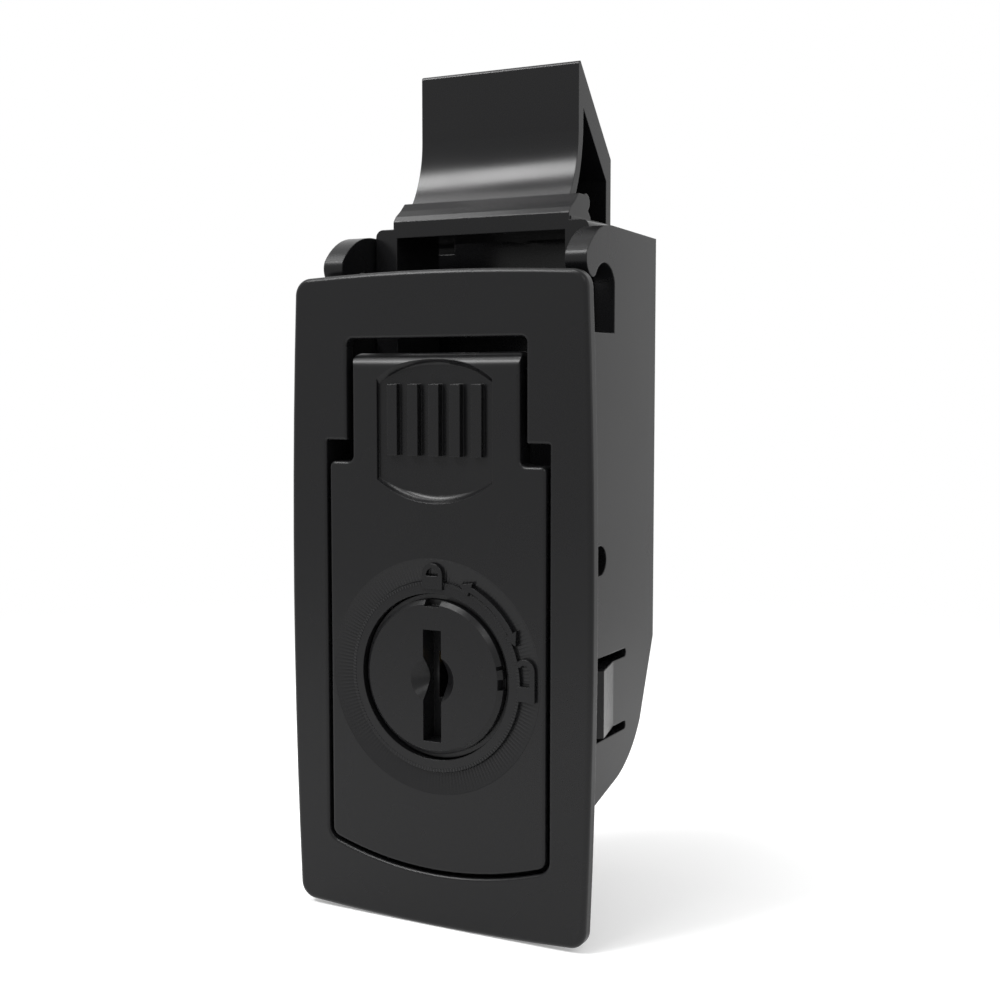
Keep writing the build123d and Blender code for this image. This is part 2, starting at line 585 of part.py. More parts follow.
def make_lever():
    """The push paddle: T-shaped plate, hub, forked arms, lock boss and finger dish."""
    top = OPENING_TOP_Z - NECK_TOP_GAP
    step = OPENING_STEP_Z - SHOULDER_GAP
    outline = t_outline(NECK_HALF, top, step, LEVER_HALF, OPENING_BOTTOM_Z + LEVER_GAP,
                        OPENING_BOTTOM_R - LEVER_GAP, OPENING_CORNER_R - LEVER_GAP,
                        LEVER_NECK_CORNER_R, LEVER_NECK_CORNER_R, LEVER_NECK_CORNER_R)
    plate = front_slab(outline, FACE_Y, LEVER_BACK_Y)
    plate = fillet(plate.faces().sort_by(Axis.Y)[0].edges(), LEVER_EDGE_R)
    centre_y = FACE_Y + LEVER_TOP_R
    centre_z = top - LEVER_TOP_R
    round_off = make_face([
        Line((FACE_Y - 1, centre_z), (FACE_Y, centre_z)),
        RadiusArc((FACE_Y, centre_z), (centre_y, top), LEVER_TOP_R),
        Line((centre_y, top), (centre_y, top + 1)),
        Line((centre_y, top + 1), (FACE_Y - 1, top + 1)),
        Line((FACE_Y - 1, top + 1), (FACE_Y - 1, centre_z)),
    ])
    plate -= side_slab(round_off, -NECK_HALF - 1, NECK_HALF + 1)

    root_y = LEVER_BACK_Y - FIT
    backing_half = DISH_WIDTH / 2 + BACKING_SIDE
    backing = block(-backing_half, backing_half, root_y, LEVER_BACK_Y + DISH_BACKING, PIVOT_Z,
                    top - BACKING_TOP)
    hub = rod_x(HUB_R, -LEVER_HALF, LEVER_HALF, PIVOT_Y, PIVOT_Z)
    heel = block(-LEVER_HALF, LEVER_HALF, root_y, PIVOT_Y, PIVOT_Z - HUB_R, PIVOT_Z + HUB_R)
    boss = rod_y(LOCK_BOSS_R, root_y, LOCK_BOSS_BACK_Y)
    body = plate + backing + hub + heel + boss + both_sides(fork_arm())

    low_rib_x = LEVER_HALF - LOW_RIB_INSET
    rib_back = LEVER_BACK_Y + LOW_RIB_RISE
    rib_low = OPENING_BOTTOM_Z + LOW_RIB_END
    upright = block(low_rib_x, low_rib_x + LOW_RIB_WIDTH, root_y, rib_back, rib_low, PIVOT_Z)
    body += both_sides(upright)
    body += block(-low_rib_x, low_rib_x, root_y, rib_back, rib_low, rib_low + LOW_RIB_WIDTH)

    body -= rod_y(LOCK_BORE_R, FACE_Y - 1, SLEEVE_FLANGE_BACK_Y)
    body -= rod_y(SLEEVE_R + FIT, FACE_Y, LOCK_BOSS_BACK_Y + 1)
    ring = make_face(Polyline(
        (LOCK_RING_LAND_R, FACE_Y - 1), (LOCK_RING_R, FACE_Y - 1), (LOCK_RING_R, FACE_Y),
        (LOCK_RING_LAND_R, FACE_Y + LOCK_RING_DEPTH), close=True))
    body -= Pos(0, 0, LOCK_Z) * revolve(ring, axis=Axis.Y)
    body -= rod_x(PIVOT_PIN_R + RUN, -LEVER_HALF - 1, LEVER_HALF + 1, PIVOT_Y, PIVOT_Z)
    recess = dish_recess()
    body -= recess
    body += [rib & recess for rib in grip_ribs()]
    return body


def make_bolt():
    """The slam bolt: wedge head, crossbar with its bead, two slotted legs and a rear plate."""
    catch = BOLT_CATCH_Y
    face_low = BOLT_FACE_BOTTOM_Z
    neck = (catch - NECK_SETBACK, face_low - NECK_DROP)
    bow = (catch - 0.65, face_low - 3.7)
    crest = (neck[0] - 0.85, neck[1] - 0.8)
    bevel = (LEG_FRONT_Y + BEAD_BEVEL_Y, BRIDGE_Z + BAR_HEIGHT + BEAD_BEVEL_Z)
    brow = (LEG_FRONT_Y, BRIDGE_Z + BAR_HEIGHT)
    neck_rear = (neck[0] + BOLT_SKIN + 0.25, neck[1])
    lobe = (neck_rear[0] + 1.3, neck_rear[1] - 0.6)
    waist = (neck_rear[0] + 0.85, neck_rear[1] - 1.45)
    bar_rear = (neck_rear[0] + BAR_REAR, BRIDGE_Z + BRIDGE_THICK + 0.25)
    slope = math.atan2(BOLT_TOP_Z - BOLT_SLOPE_END_Z, PLATE_REAR_Y - catch - TOP_EDGE)
    apex_y = catch + BOLT_SKIN + 0.05
    apex_z = BOLT_TOP_Z - math.tan(slope) * (apex_y - catch - TOP_EDGE) - BOLT_SLOPE_WALL / math.cos(slope)
    inner_z = apex_z - math.tan(slope) * (PLATE_FRONT_Y - apex_y)
    bar = [
        ThreePointArc(neck_rear, lobe, waist),
        Line(waist, bar_rear),
        Line(bar_rear, (bar_rear[0], BRIDGE_Z)),
        Line((bar_rear[0], BRIDGE_Z), (LEG_FRONT_Y, BRIDGE_Z)),
        Line((LEG_FRONT_Y, BRIDGE_Z), brow),
        Line(brow, bevel),
        Line(bevel, crest),
        Line(crest, neck),
    ]
    edges = bar + [
        ThreePointArc(neck, bow, (catch, face_low)),
        Line((catch, face_low), (catch, BOLT_TOP_Z - 0.3)),
        ThreePointArc((catch, BOLT_TOP_Z - 0.3), (catch + 0.12, BOLT_TOP_Z - 0.08),
                      (catch + TOP_EDGE, BOLT_TOP_Z)),
        Line((catch + TOP_EDGE, BOLT_TOP_Z), (PLATE_REAR_Y, BOLT_SLOPE_END_Z)),
        Line((PLATE_REAR_Y, BOLT_SLOPE_END_Z), (PLATE_REAR_Y, BOLT_PLATE_BOTTOM_Z)),
        Line((PLATE_REAR_Y, BOLT_PLATE_BOTTOM_Z), (PLATE_FRONT_Y, BOLT_PLATE_BOTTOM_Z)),
        Line((PLATE_FRONT_Y, BOLT_PLATE_BOTTOM_Z), (PLATE_FRONT_Y, inner_z)),
        Line((PLATE_FRONT_Y, inner_z), (apex_y, apex_z)),
        Line((apex_y, apex_z), (catch + BOLT_SKIN, face_low)),
        ThreePointArc((catch + BOLT_SKIN, face_low), (bow[0] + BOLT_SKIN, bow[1] + 0.1), neck_rear),
    ]
    shell = side_slab(make_face(edges), -HEAD_HALF, HEAD_HALF)
    plate = block(-LEG_OUT, LEG_OUT, PLATE_FRONT_Y, PLATE_REAR_Y, BOLT_PLATE_BOTTOM_Z, PLATE_TOP_Z)

    bead = side_slab(make_face(bar + [Line(neck, neck_rear)]), -BEAD_HALF, BEAD_HALF)
    ridge = [e for e in bead.edges().filter_by(Axis.X)
             if abs(e.center().Y - brow[0]) + abs(e.center().Z - brow[1]) < 0.01]
    bead = fillet(ridge, BEAD_EDGE_R)

    web = side_slab(make_face(Polyline(
        (bar_rear[0] - 0.3, BRIDGE_Z), (PLATE_FRONT_Y + 0.2, BRIDGE_Z), (PLATE_FRONT_Y + 0.2, inner_z),
        (apex_y, apex_z + 0.2), (catch + BOLT_SKIN - 0.3, face_low),
        (neck_rear[0] - 0.2, neck_rear[1] + 0.6), (waist[0] - 0.5, waist[1]), close=True)),
        -BOLT_WEB / 2, BOLT_WEB / 2)
    bridge = block(-LEG_IN - 0.5, LEG_IN + 0.5, LEG_FRONT_Y + 0.3, LEG_REAR_Y, BRIDGE_Z,
                   BRIDGE_Z + BRIDGE_THICK)

    leg_top = BRIDGE_Z + LEG_TOP_RISE
    leg = side_slab(make_face(Polyline(
        (LEG_FRONT_Y, LEG_BOTTOM_Z + LEG_CHAMFER), (LEG_FRONT_Y + LEG_CHAMFER, LEG_BOTTOM_Z),
        (LEG_REAR_Y - LEG_CHAMFER, LEG_BOTTOM_Z), (LEG_REAR_Y, LEG_BOTTOM_Z + LEG_CHAMFER),
        (LEG_REAR_Y, leg_top), (LEG_FRONT_Y, leg_top), close=True)), LEG_IN, LEG_OUT)
    top_corner = leg.edges().filter_by(Axis.Y).sort_by(Axis.Z)[-2:].sort_by(Axis.X)[-1]
    leg = fillet(top_corner, LEG_CORNER_R)
    slot_top = PIN_Z + RELEASE_PIN_R - PIN_FLAT + SLAM_SPRING_LENGTH
    slot = block(LEG_IN - 1, LEG_OUT + 1, PIN_Y - SLOT_HALF, PIN_Y + SLOT_HALF, PIN_Z, slot_top)
    slot += rod_x(SLOT_HALF, LEG_IN - 1, LEG_OUT + 1, PIN_Y, PIN_Z)
    return shell + plate + bead + web + bridge + both_sides(leg - slot)


def make_release_pin():
    """The cross pin that the forks carry, with flats where the springs bear on it."""
    half = CHEEK_IN + GROOVE_DEPTH - SLIDE
    pin = rod_x(RELEASE_PIN_R, -half, half, PIN_Y, PIN_Z)
    pin = chamfer(pin.edges().filter_by(GeomType.CIRCLE), PIN_CHAMFER)
    flat_top = PIN_Z + RELEASE_PIN_R - PIN_FLAT
    flat_low = PIN_Z - RELEASE_PIN_R + PIN_FLAT
    seat_half = SPRING_OD / 2 + SPRING_SEAT_MARGIN
    rest_half = RETURN_SPRING_OD / 2 + SPRING_SEAT_MARGIN
    seat = block(LEG_X - seat_half, LEG_X + seat_half, PIN_Y - 2, PIN_Y + 2, flat_top, flat_top + 1)
    rest = block(RETURN_SPRING_X - rest_half, RETURN_SPRING_X + rest_half, PIN_Y - 2, PIN_Y + 2,
                 flat_low - 1, flat_low)
    for cut in both_sides(seat) + both_sides(rest):
        pin -= cut
    return pin


def make_pivot_pin():
    """The plain pin through both cheeks and the lever's hub."""
    half = CHEEK_OUT - PIN_CHAMFER
    pin = rod_x(PIVOT_PIN_R, -half, half, PIVOT_Y, PIVOT_Z)
    return chamfer(pin.edges().filter_by(GeomType.CIRCLE), PIN_CHAMFER)


def make_sleeve():
    """The lock's body: front flange, clip groove, wafer chamber and a stop ring at the back."""
    back = SLEEVE_BACK_Y
    sleeve = rod_y(LOCK_BORE_R - FIT, SLEEVE_FRONT_Y, SLEEVE_FLANGE_BACK_Y)
    sleeve += rod_y(SLEEVE_R, SLEEVE_FRONT_Y, back + STOP_RING_THICK)
    sleeve -= rod_y(PLUG_HEAD_R + RUN, SLEEVE_FRONT_Y - 1, SLEEVE_CUP_Y)
    groove_low = LOCK_BOSS_BACK_Y + FIT / 2
    groove = rod_y(LOCK_BORE_R, groove_low, groove_low + CLIP_THICK + FIT)
    groove -= rod_y(SLEEVE_R - CLIP_GROOVE_DEPTH, groove_low, groove_low + CLIP_THICK + FIT)
    sleeve -= groove
    sleeve -= rod_y(PLUG_R + RUN, 0, back + 2)
    sleeve -= rod_y(CHAMBER_R, CHAMBER_FRONT_Y, CHAMBER_BACK_Y)
    sleeve -= rod_y(SLEEVE_R - STOP_RING_WALL, back, back + 2)
    reach = 2 * SLEEVE_R
    corner = reach * math.tan(math.radians(STOP_ANGLE))
    gap = make_face(Polyline((0, 0), (-reach, corner), (-reach, -reach), (corner, -reach), close=True))
    sleeve -= Pos(0, 0, LOCK_Z) * front_slab(gap, back, back + 2)
    return sleeve


def make_clip():
    """The open spring clip that holds the sleeve in the lever."""
    y = LOCK_BOSS_BACK_Y + FIT
    inner = SLEEVE_R - CLIP_GROOVE_DEPTH + FIT
    clip = rod_y(CLIP_R, y, y + CLIP_THICK - FIT / 2) - rod_y(inner, y - 1, y + 2)
    return clip - block(-CLIP_MOUTH_HALF, CLIP_MOUTH_HALF, y - 1, y + 2, LOCK_Z, LOCK_Z + 2 * CLIP_R)


def wafer_y(index):
    """Front face of one wafer."""
    return WAFER_FIRST_Y + index * WAFER_PITCH


def wafer_spring_place():
    """Distance of the wafer springs from the lock's axis, and the height they push against."""
    return (WAFER_WIDTH + WAFER_SPRING_OD) / 2 + RUN, LOCK_Z + WAFER_SPRING_RISE + WAFER_SPRING_LENGTH


def make_wafer(index):
    """One brass wafer with the key window and the ear its spring pushes on, key out."""
    y = wafer_y(index)
    round_end = Circle(PLUG_R - FIT) & Rectangle(WAFER_WIDTH, 3 * PLUG_R)
    window = Pos(0, -KEY_DROP) * Rectangle(WAFER_WINDOW_WIDTH, WAFER_WINDOW)
    ear_root = 2 * FIT
    ear = Pos(WAFER_WIDTH / 2 + (WAFER_EAR - ear_root) / 2, WAFER_TRAVEL[index])
    ear *= Rectangle(WAFER_EAR + ear_root, WAFER_EAR_HEIGHT)
    wafer = front_slab(round_end - window + ear, y, y + WAFER_THICK)
    return Pos(0, 0, LOCK_Z - WAFER_TRAVEL[index]) * wafer


def make_wafer_spring(index):
    """The small spring over one wafer's ear."""
    x, top = wafer_spring_place()
    y = wafer_y(index) + WAFER_THICK / 2
    return coil(WAFER_SPRING_OD, WAFER_SPRING_WIRE, WAFER_SPRING_TURNS, x, y,
                LOCK_Z + WAFER_SPRING_RISE, top - SPRING_END_GAP)


def make_plug():
    """The turning plug: chamfered head, key slot, wafer slots and a square tail."""
    head = make_face(Polyline(
        (0, PLUG_FACE_Y), (PLUG_HEAD_R - PLUG_HEAD_TAPER, PLUG_FACE_Y), (PLUG_HEAD_R, SLEEVE_FRONT_Y),
        (PLUG_HEAD_R, PLUG_HEAD_BACK_Y), (0, PLUG_HEAD_BACK_Y), close=True))
    plug = Pos(0, 0, LOCK_Z) * revolve(head, axis=Axis.Y)
    plug += rod_y(PLUG_R, PLUG_HEAD_BACK_Y, PLUG_BACK_Y)
    plug += block(-TAIL_WIDTH / 2, TAIL_WIDTH / 2, PLUG_BACK_Y, TAIL_BACK_Y,
                  LOCK_Z - TAIL_WIDTH / 2, LOCK_Z + TAIL_WIDTH / 2)
    plug -= rod_y(SCREW_R + RUN, TAIL_BACK_Y - SCREW_LENGTH, TAIL_BACK_Y + 1)

    notch_y = SLEEVE_FRONT_Y - FIT
    plug -= block(-NOTCH_HALF, NOTCH_HALF, PLUG_FACE_Y - 1, notch_y,
                  LOCK_Z + PLUG_HEAD_R - NOTCH_DEPTH, LOCK_Z + PLUG_HEAD_R + 1)
    for z_low, z_high in NICKS:
        plug -= block(PLUG_HEAD_R - NICK_DEPTH, PLUG_HEAD_R + 1, PLUG_FACE_Y - 1, notch_y,
                      LOCK_Z + z_low, LOCK_Z + z_high)

    pocket_half = KEY_POCKET_WIDTH / 2
    plug -= block(-pocket_half, pocket_half, PLUG_FACE_Y - 1, PLUG_FACE_Y + KEY_POCKET_DEPTH,
                  KEY_MID_Z - KEY_POCKET_HEIGHT / 2, KEY_MID_Z + KEY_POCKET_HEIGHT / 2)
    way_back = wafer_y(len(WAFER_TRAVEL)) - KEYWAY_END
    plug -= block(pocket_half - KEYWAY_WIDTH, pocket_half, PLUG_FACE_Y, way_back,
                  LOCK_Z + KEYWAY_STEP, LOCK_Z + KEYWAY_TOP)
    plug -= block(pocket_half - KEYWAY_FOOT_WIDTH, pocket_half, PLUG_FACE_Y, way_back,
                  LOCK_Z + KEYWAY_FOOT, LOCK_Z + KEYWAY_STEP + FIT)
    cone_height = KEY_CONE_R - KEY_CONE_TIP_R
    cone = Cone(KEY_CONE_R, KEY_CONE_TIP_R, cone_height)
    plug -= Pos(0, PLUG_FACE_Y + cone_height / 2, LOCK_Z - KEY_CONE_RISE) * Rot(-90, 0, 0) * cone

    spring_x, spring_top = wafer_spring_place()
    for index in range(len(WAFER_TRAVEL)):
        y_low = wafer_y(index) - RUN
        y_high = wafer_y(index) + WAFER_THICK + RUN
        half = WAFER_WIDTH / 2 + RUN
        plug -= block(-half, half, y_low, y_high, LOCK_Z - PLUG_R - 1, LOCK_Z + PLUG_R + 1)
        plug -= block(half - FIT, WAFER_WIDTH / 2 + WAFER_EAR + FIT, y_low, y_high,
                      LOCK_Z - EAR_SLOT_BELOW, LOCK_Z + EAR_SLOT_ABOVE)
        pocket = Pos(spring_x, (y_low + y_high) / 2, (LOCK_Z + spring_top) / 2)
        plug -= pocket * Cylinder(WAFER_SPRING_OD / 2 + RUN, spring_top - LOCK_Z)
    return plug


def make_stop_washer():
    """The washer keyed to the plug's tail, whose tongue runs between the sleeve's stops."""
    y = WASHER_Y
    disc_r = SLEEVE_R - STOP_RING_WALL - SLIDE
    washer = rod_y(disc_r, y, y + WASHER_THICK)
    tongue_half = disc_r * math.tan(math.radians(TONGUE_ANGLE))
    washer += block(-tongue_half, tongue_half, y, y + WASHER_THICK, LOCK_Z - SLEEVE_R + FIT,
                    LOCK_Z - disc_r / 2)
    hole = TAIL_WIDTH / 2 + RUN
    return washer - block(-hole, hole, y - 1, y + 2, LOCK_Z - hole, LOCK_Z + hole)


def make_cam():
    """The locking cam: a rounded arm with a square hole for the plug's tail."""
    y = CAM_Y
    cam = rod_y(CAM_EYE_R, y, y + CAM_THICK)
    tip_z = floor_z(y + CAM_THICK) + CAM_FLOOR_GAP + CAM_WIDTH / 2
    cam += block(-CAM_WIDTH / 2, CAM_WIDTH / 2, y, y + CAM_THICK, tip_z, LOCK_Z)
    cam += rod_y(CAM_WIDTH / 2, y, y + CAM_THICK, 0.0, tip_z)
    hole = TAIL_WIDTH / 2 + RUN
    return cam - block(-hole, hole, y - 1, y + 2, LOCK_Z - hole, LOCK_Z + hole)


def make_cam_screw():
    """The pan-head screw that holds the cam, with a cross recess."""
    y = CAM_Y + CAM_THICK + FIT / 2
    head = rod_y(SCREW_HEAD_R, y, y + SCREW_HEAD)
    rim = head.edges().filter_by(GeomType.CIRCLE).sort_by(Axis.Y)[-1]
    screw = fillet(rim, SCREW_HEAD_ROUND)
    screw += rod_y(SCREW_R, TAIL_BACK_Y - SCREW_LENGTH + 2 * FIT, y + FIT)
    back = y + SCREW_HEAD
    for half_x, half_z in ((CROSS_HALF, CROSS_SLOT_HALF), (CROSS_SLOT_HALF, CROSS_HALF)):
        screw -= block(-half_x, half_x, back - CROSS_DEPTH, back + 1, LOCK_Z - half_z, LOCK_Z + half_z)
    return screw


def make_springs():
    """The slam springs in the bolt's legs and the return springs under the release pin."""
    flat_top = PIN_Z + RELEASE_PIN_R - PIN_FLAT
    flat_low = PIN_Z - RELEASE_PIN_R + PIN_FLAT
    springs = {}
    for name, side in (("left", -1), ("right", 1)):
        springs["slam_spring_" + name] = coil(SPRING_OD, SPRING_WIRE, SPRING_TURNS, side * LEG_X, PIN_Y,
                                              flat_top + SPRING_END_GAP,
                                              flat_top + SLAM_SPRING_LENGTH - SPRING_END_GAP)
        springs["return_spring_" + name] = coil(RETURN_SPRING_OD, SPRING_WIRE, SPRING_TURNS,
                                                side * RETURN_SPRING_X, PIN_Y,
                                                LEDGE_TOP_Z + SPRING_END_GAP,
                                                flat_low - SPRING_END_GAP)
    return springs


def build_all():
    """Every sub-part by its node name."""
    parts = {
        "housing": make_housing(),
        "lever": make_lever(),
        "pivot_pin": make_pivot_pin(),
        "release_pin": make_release_pin(),
        "slam_bolt": make_bolt(),
        "lock_sleeve": make_sleeve(),
        "sleeve_clip": make_clip(),
        "lock_plug": make_plug(),
        "stop_washer": make_stop_washer(),
        "lock_cam": make_cam(),
        "cam_screw": make_cam_screw(),
    }
    parts.update(make_springs())
    for index in range(len(WAFER_TRAVEL)):
        parts["wafer_%d" % (index + 1)] = make_wafer(index)
        parts["wafer_spring_%d" % (index + 1)] = make_wafer_spring(index)
    return parts


os.makedirs("parts", exist_ok=True)
for node, solid in build_all().items():
    export_step(solid, "parts/" + node + ".step")
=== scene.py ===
import json
import math

import bpy
import numpy as np
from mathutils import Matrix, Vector


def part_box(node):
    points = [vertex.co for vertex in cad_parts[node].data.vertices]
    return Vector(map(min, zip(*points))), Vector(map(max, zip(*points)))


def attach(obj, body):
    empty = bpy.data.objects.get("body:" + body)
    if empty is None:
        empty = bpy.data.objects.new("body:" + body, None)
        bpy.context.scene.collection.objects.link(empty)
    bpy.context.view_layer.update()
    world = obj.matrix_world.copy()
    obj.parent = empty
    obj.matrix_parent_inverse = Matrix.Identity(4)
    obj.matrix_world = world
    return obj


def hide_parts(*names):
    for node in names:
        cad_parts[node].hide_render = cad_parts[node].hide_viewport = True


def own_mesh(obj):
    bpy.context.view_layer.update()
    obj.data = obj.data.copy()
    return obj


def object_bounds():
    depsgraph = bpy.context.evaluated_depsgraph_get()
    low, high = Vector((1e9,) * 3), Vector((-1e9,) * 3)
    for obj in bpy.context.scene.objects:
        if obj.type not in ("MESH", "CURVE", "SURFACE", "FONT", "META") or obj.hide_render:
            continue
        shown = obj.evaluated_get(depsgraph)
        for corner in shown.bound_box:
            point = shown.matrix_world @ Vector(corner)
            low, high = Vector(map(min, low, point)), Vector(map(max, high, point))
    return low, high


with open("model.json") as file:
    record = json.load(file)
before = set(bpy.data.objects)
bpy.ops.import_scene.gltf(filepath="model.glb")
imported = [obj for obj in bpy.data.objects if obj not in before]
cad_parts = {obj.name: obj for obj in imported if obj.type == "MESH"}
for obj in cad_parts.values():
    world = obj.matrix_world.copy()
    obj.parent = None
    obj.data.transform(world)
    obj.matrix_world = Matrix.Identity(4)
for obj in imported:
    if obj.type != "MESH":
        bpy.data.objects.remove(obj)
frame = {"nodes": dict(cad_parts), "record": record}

bl_info = {
    "name": "Push-to-close latch",
    "version": (1, 0, 0),
    "blender": (4, 5, 0),
    "location": "View3D > Sidebar > Latch",
    "description": "Finishes and small raised details of a push-to-close latch, with its studio",
    "category": "Object",
}

MM = 0.001
CAD_BOX = [list(corner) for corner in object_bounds()]
FLOOR_Z = CAD_BOX[0][2]
FACE_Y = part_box("lever")[0][1]
LOCK_Z = (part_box("lock_sleeve")[0][2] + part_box("lock_sleeve")[1][2]) / 2

# Marks round the lock, in mm: x from the lock's axis, z from its centre, and radii.
CLOSED_PADLOCK = {"x_mid": -0.09, "foot_z": 8.46, "hole_z": 9.76, "arch_z": 9.84,
                  "outer_r": 1.115, "inner_r": 0.665}
OPEN_PADLOCK = {"x_low": 9.05, "x_high": 10.83, "z_low": -1.41, "z_high": 0.02,
                "arch_x": 9.75, "arch_z": 1.49, "outer_r": 1.08, "inner_r": 0.53}
OPEN_CUT_ANGLE = 150.0  # degrees of the bow, from its right leg to its free end
ARROW_SHAFT, ARROW_HEAD = 0.56, 1.4  # widths in mm

# The plug's bevel: its section as radius and y in mm, and its arcs between the rim's notch
# and nicks in degrees.
PLUG_BEVEL = ((6.9, -1.6), (7.05, -1.71), (7.47, -1.28), (7.47, -0.62), (6.9, -0.62))
PLUG_BEVEL_ARCS = ((3.5, 10.6), (13.4, 83.3), (96.7, 355.7))

# The rear plate's corners, in mm: both ranges of x, then the range of y and of z.
PLATE_CORNERS_X = ((-11.9, -8.8), (8.8, 11.9))
PLATE_CORNERS_Y, PLATE_CORNERS_Z = (18.75, 19.8), (34.8, 36.3)

# The camera was fitted to the photograph: place in metres, tilt and turn in degrees.
CAMERA_PLACE = (0.069548, -0.120314, 0.021036)
CAMERA_TILT, CAMERA_TURN = 85.401, 27.679

# Soft boxes: place in metres, width and height in metres, and watts.
SOFTBOXES = {
    "softbox_left": ((-0.28, -0.32, 0.44), (0.24, 0.12), 2.3),
    "softbox_top_left": ((-0.25, -0.065, 0.43), (0.14, 0.10), 0.3),
    "softbox_overhead": ((-0.08, -0.14, 0.48), (0.20, 0.12), 0.8),
    "softbox_front_right": ((0.29, -0.24, 0.34), (0.14, 0.12), 0.25),
    "softbox_right": ((0.55, 0.15, 0.20), (0.40, 0.40), 0.4),
}
LIGHTS_AIM = (0, 0.005, 0.01)  # the latch's middle
FLOOR_HALF = 3.0  # metres
FLOOR_GLOW = 0.23  # added to the near floor where it is seen, so that its shadow stays pale
FLOOR_FADE = (0.06, 0.22)  # metres from the origin between which the floor fades to white

NODE_SLOT = {part["node"]: part["material_slot"] for part in frame["record"]["subparts"]}


def linear(hex_colour):
    """An sRGB hex colour as linear red, green, blue and alpha."""
    values = [int(hex_colour[i:i + 2], 16) / 255 for i in (1, 3, 5)]
    return [v / 12.92 if v <= 0.04045 else ((v + 0.055) / 1.055) ** 2.4 for v in values] + [1.0]


def add_node(tree, kind, settings=None, links=None, **inputs):
    """Adds a node, sets its properties and sockets, and links sockets to other nodes' outputs."""
    node = tree.nodes.new(kind)
    for name, value in (settings or {}).items():
        setattr(node, name, value)
    for name, value in inputs.items():
        node.inputs[name.replace("_", " ")].default_value = value
    for name, (source, output) in (links or {}).items():
        tree.links.new(source.outputs[output], node.inputs[name])
    return node


def new_material(name):
    """An empty node material and its tree."""
    material = bpy.data.materials.new(name)
    material.use_nodes = True
    material.node_tree.nodes.clear()
    return material, material.node_tree


def moulded_plastic(name, colour, roughness, specular, grain, edge_radius):
    """Black polymer from a steel mould with a spark-eroded satin texture.

    The grain is a fine pebble of the given spacing in metres. It breaks up the highlight,
    and slow changes of roughness, about 11 mm across, follow the flow of the melt."""
    material, tree = new_material(name)
    place = add_node(tree, "ShaderNodeTexCoord")
    pebble = add_node(tree, "ShaderNodeTexNoise", links={"Vector": (place, "Object")},
                      Scale=1 / grain, Detail=3.0, Roughness=0.6)
    flow = add_node(tree, "ShaderNodeTexNoise", links={"Vector": (place, "Object")},
                    Scale=90.0, Detail=2.0, Roughness=0.5)
    tone = add_node(tree, "ShaderNodeMapRange", links={"Value": (flow, "Fac")},
                    From_Min=0.3, From_Max=0.7, To_Min=roughness - 0.03, To_Max=roughness + 0.03)
    base, spread = linear(colour), 0.15
    shade = add_node(tree, "ShaderNodeMix", {"data_type": "RGBA"})
    shade.inputs["A"].default_value = [c * (1 - spread) for c in base[:3]] + [1.0]
    shade.inputs["B"].default_value = [c * (1 + spread) for c in base[:3]] + [1.0]
    tree.links.new(pebble.outputs["Fac"], shade.inputs["Factor"])
    rounded = add_node(tree, "ShaderNodeBevel", {"samples": 4}, Radius=edge_radius)
    bump = add_node(tree, "ShaderNodeBump",
                    links={"Height": (pebble, "Fac"), "Normal": (rounded, "Normal")},
                    Strength=0.12, Distance=0.00002)
    shader = add_node(tree, "ShaderNodeBsdfPrincipled", IOR=1.5, Specular_IOR_Level=specular, links={
        "Base Color": (shade, "Result"), "Roughness": (tone, "Result"), "Normal": (bump, "Normal")})
    add_node(tree, "ShaderNodeOutputMaterial", links={"Surface": (shader, "BSDF")})
    return material


def coated_zinc(name, colour, roughness, specular):
    """Die-cast zinc under a thin black coat, with the coat's faint orange peel of 0.4 mm."""
    material, tree = new_material(name)
    place = add_node(tree, "ShaderNodeTexCoord")
    orange_peel = add_node(tree, "ShaderNodeTexNoise", links={"Vector": (place, "Object")},
                           Scale=2500.0, Detail=2.0, Roughness=0.5)
    rounded = add_node(tree, "ShaderNodeBevel", {"samples": 4}, Radius=0.00006)
    bump = add_node(tree, "ShaderNodeBump",
                    links={"Height": (orange_peel, "Fac"), "Normal": (rounded, "Normal")},
                    Strength=0.1, Distance=0.00002)
    tone = add_node(tree, "ShaderNodeMapRange", links={"Value": (orange_peel, "Fac")},
                    From_Min=0.3, From_Max=0.7, To_Min=roughness - 0.03, To_Max=roughness + 0.03)
    shader = add_node(tree, "ShaderNodeBsdfPrincipled", IOR=1.5, Specular_IOR_Level=specular,
                      Base_Color=linear(colour),
                      links={"Roughness": (tone, "Result"), "Normal": (bump, "Normal")})
    add_node(tree, "ShaderNodeOutputMaterial", links={"Surface": (shader, "BSDF")})
    return material


def bare_metal(name, colour, roughness, streaks):
    """Drawn, stamped or plated metal. Fine streaks, spaced in metres, show how it was made."""
    material, tree = new_material(name)
    place = add_node(tree, "ShaderNodeTexCoord")
    stretch = add_node(tree, "ShaderNodeMapping", links={"Vector": (place, "Object")})
    stretch.inputs["Scale"].default_value = (0.1, 1.0, 1.0)
    lines = add_node(tree, "ShaderNodeTexNoise", links={"Vector": (stretch, "Vector")},
                     Scale=1 / streaks, Detail=2.0, Roughness=0.5)
    tone = add_node(tree, "ShaderNodeMapRange", links={"Value": (lines, "Fac")},
                    From_Min=0.3, From_Max=0.7, To_Min=roughness - 0.06, To_Max=roughness + 0.06)
    bump = add_node(tree, "ShaderNodeBump", links={"Height": (lines, "Fac")},
                    Strength=0.08, Distance=0.00002)
    shader = add_node(tree, "ShaderNodeBsdfPrincipled", Metallic=1.0, Base_Color=linear(colour),
                      links={"Roughness": (tone, "Result"), "Normal": (bump, "Normal")})
    add_node(tree, "ShaderNodeOutputMaterial", links={"Surface": (shader, "BSDF")})
    return material


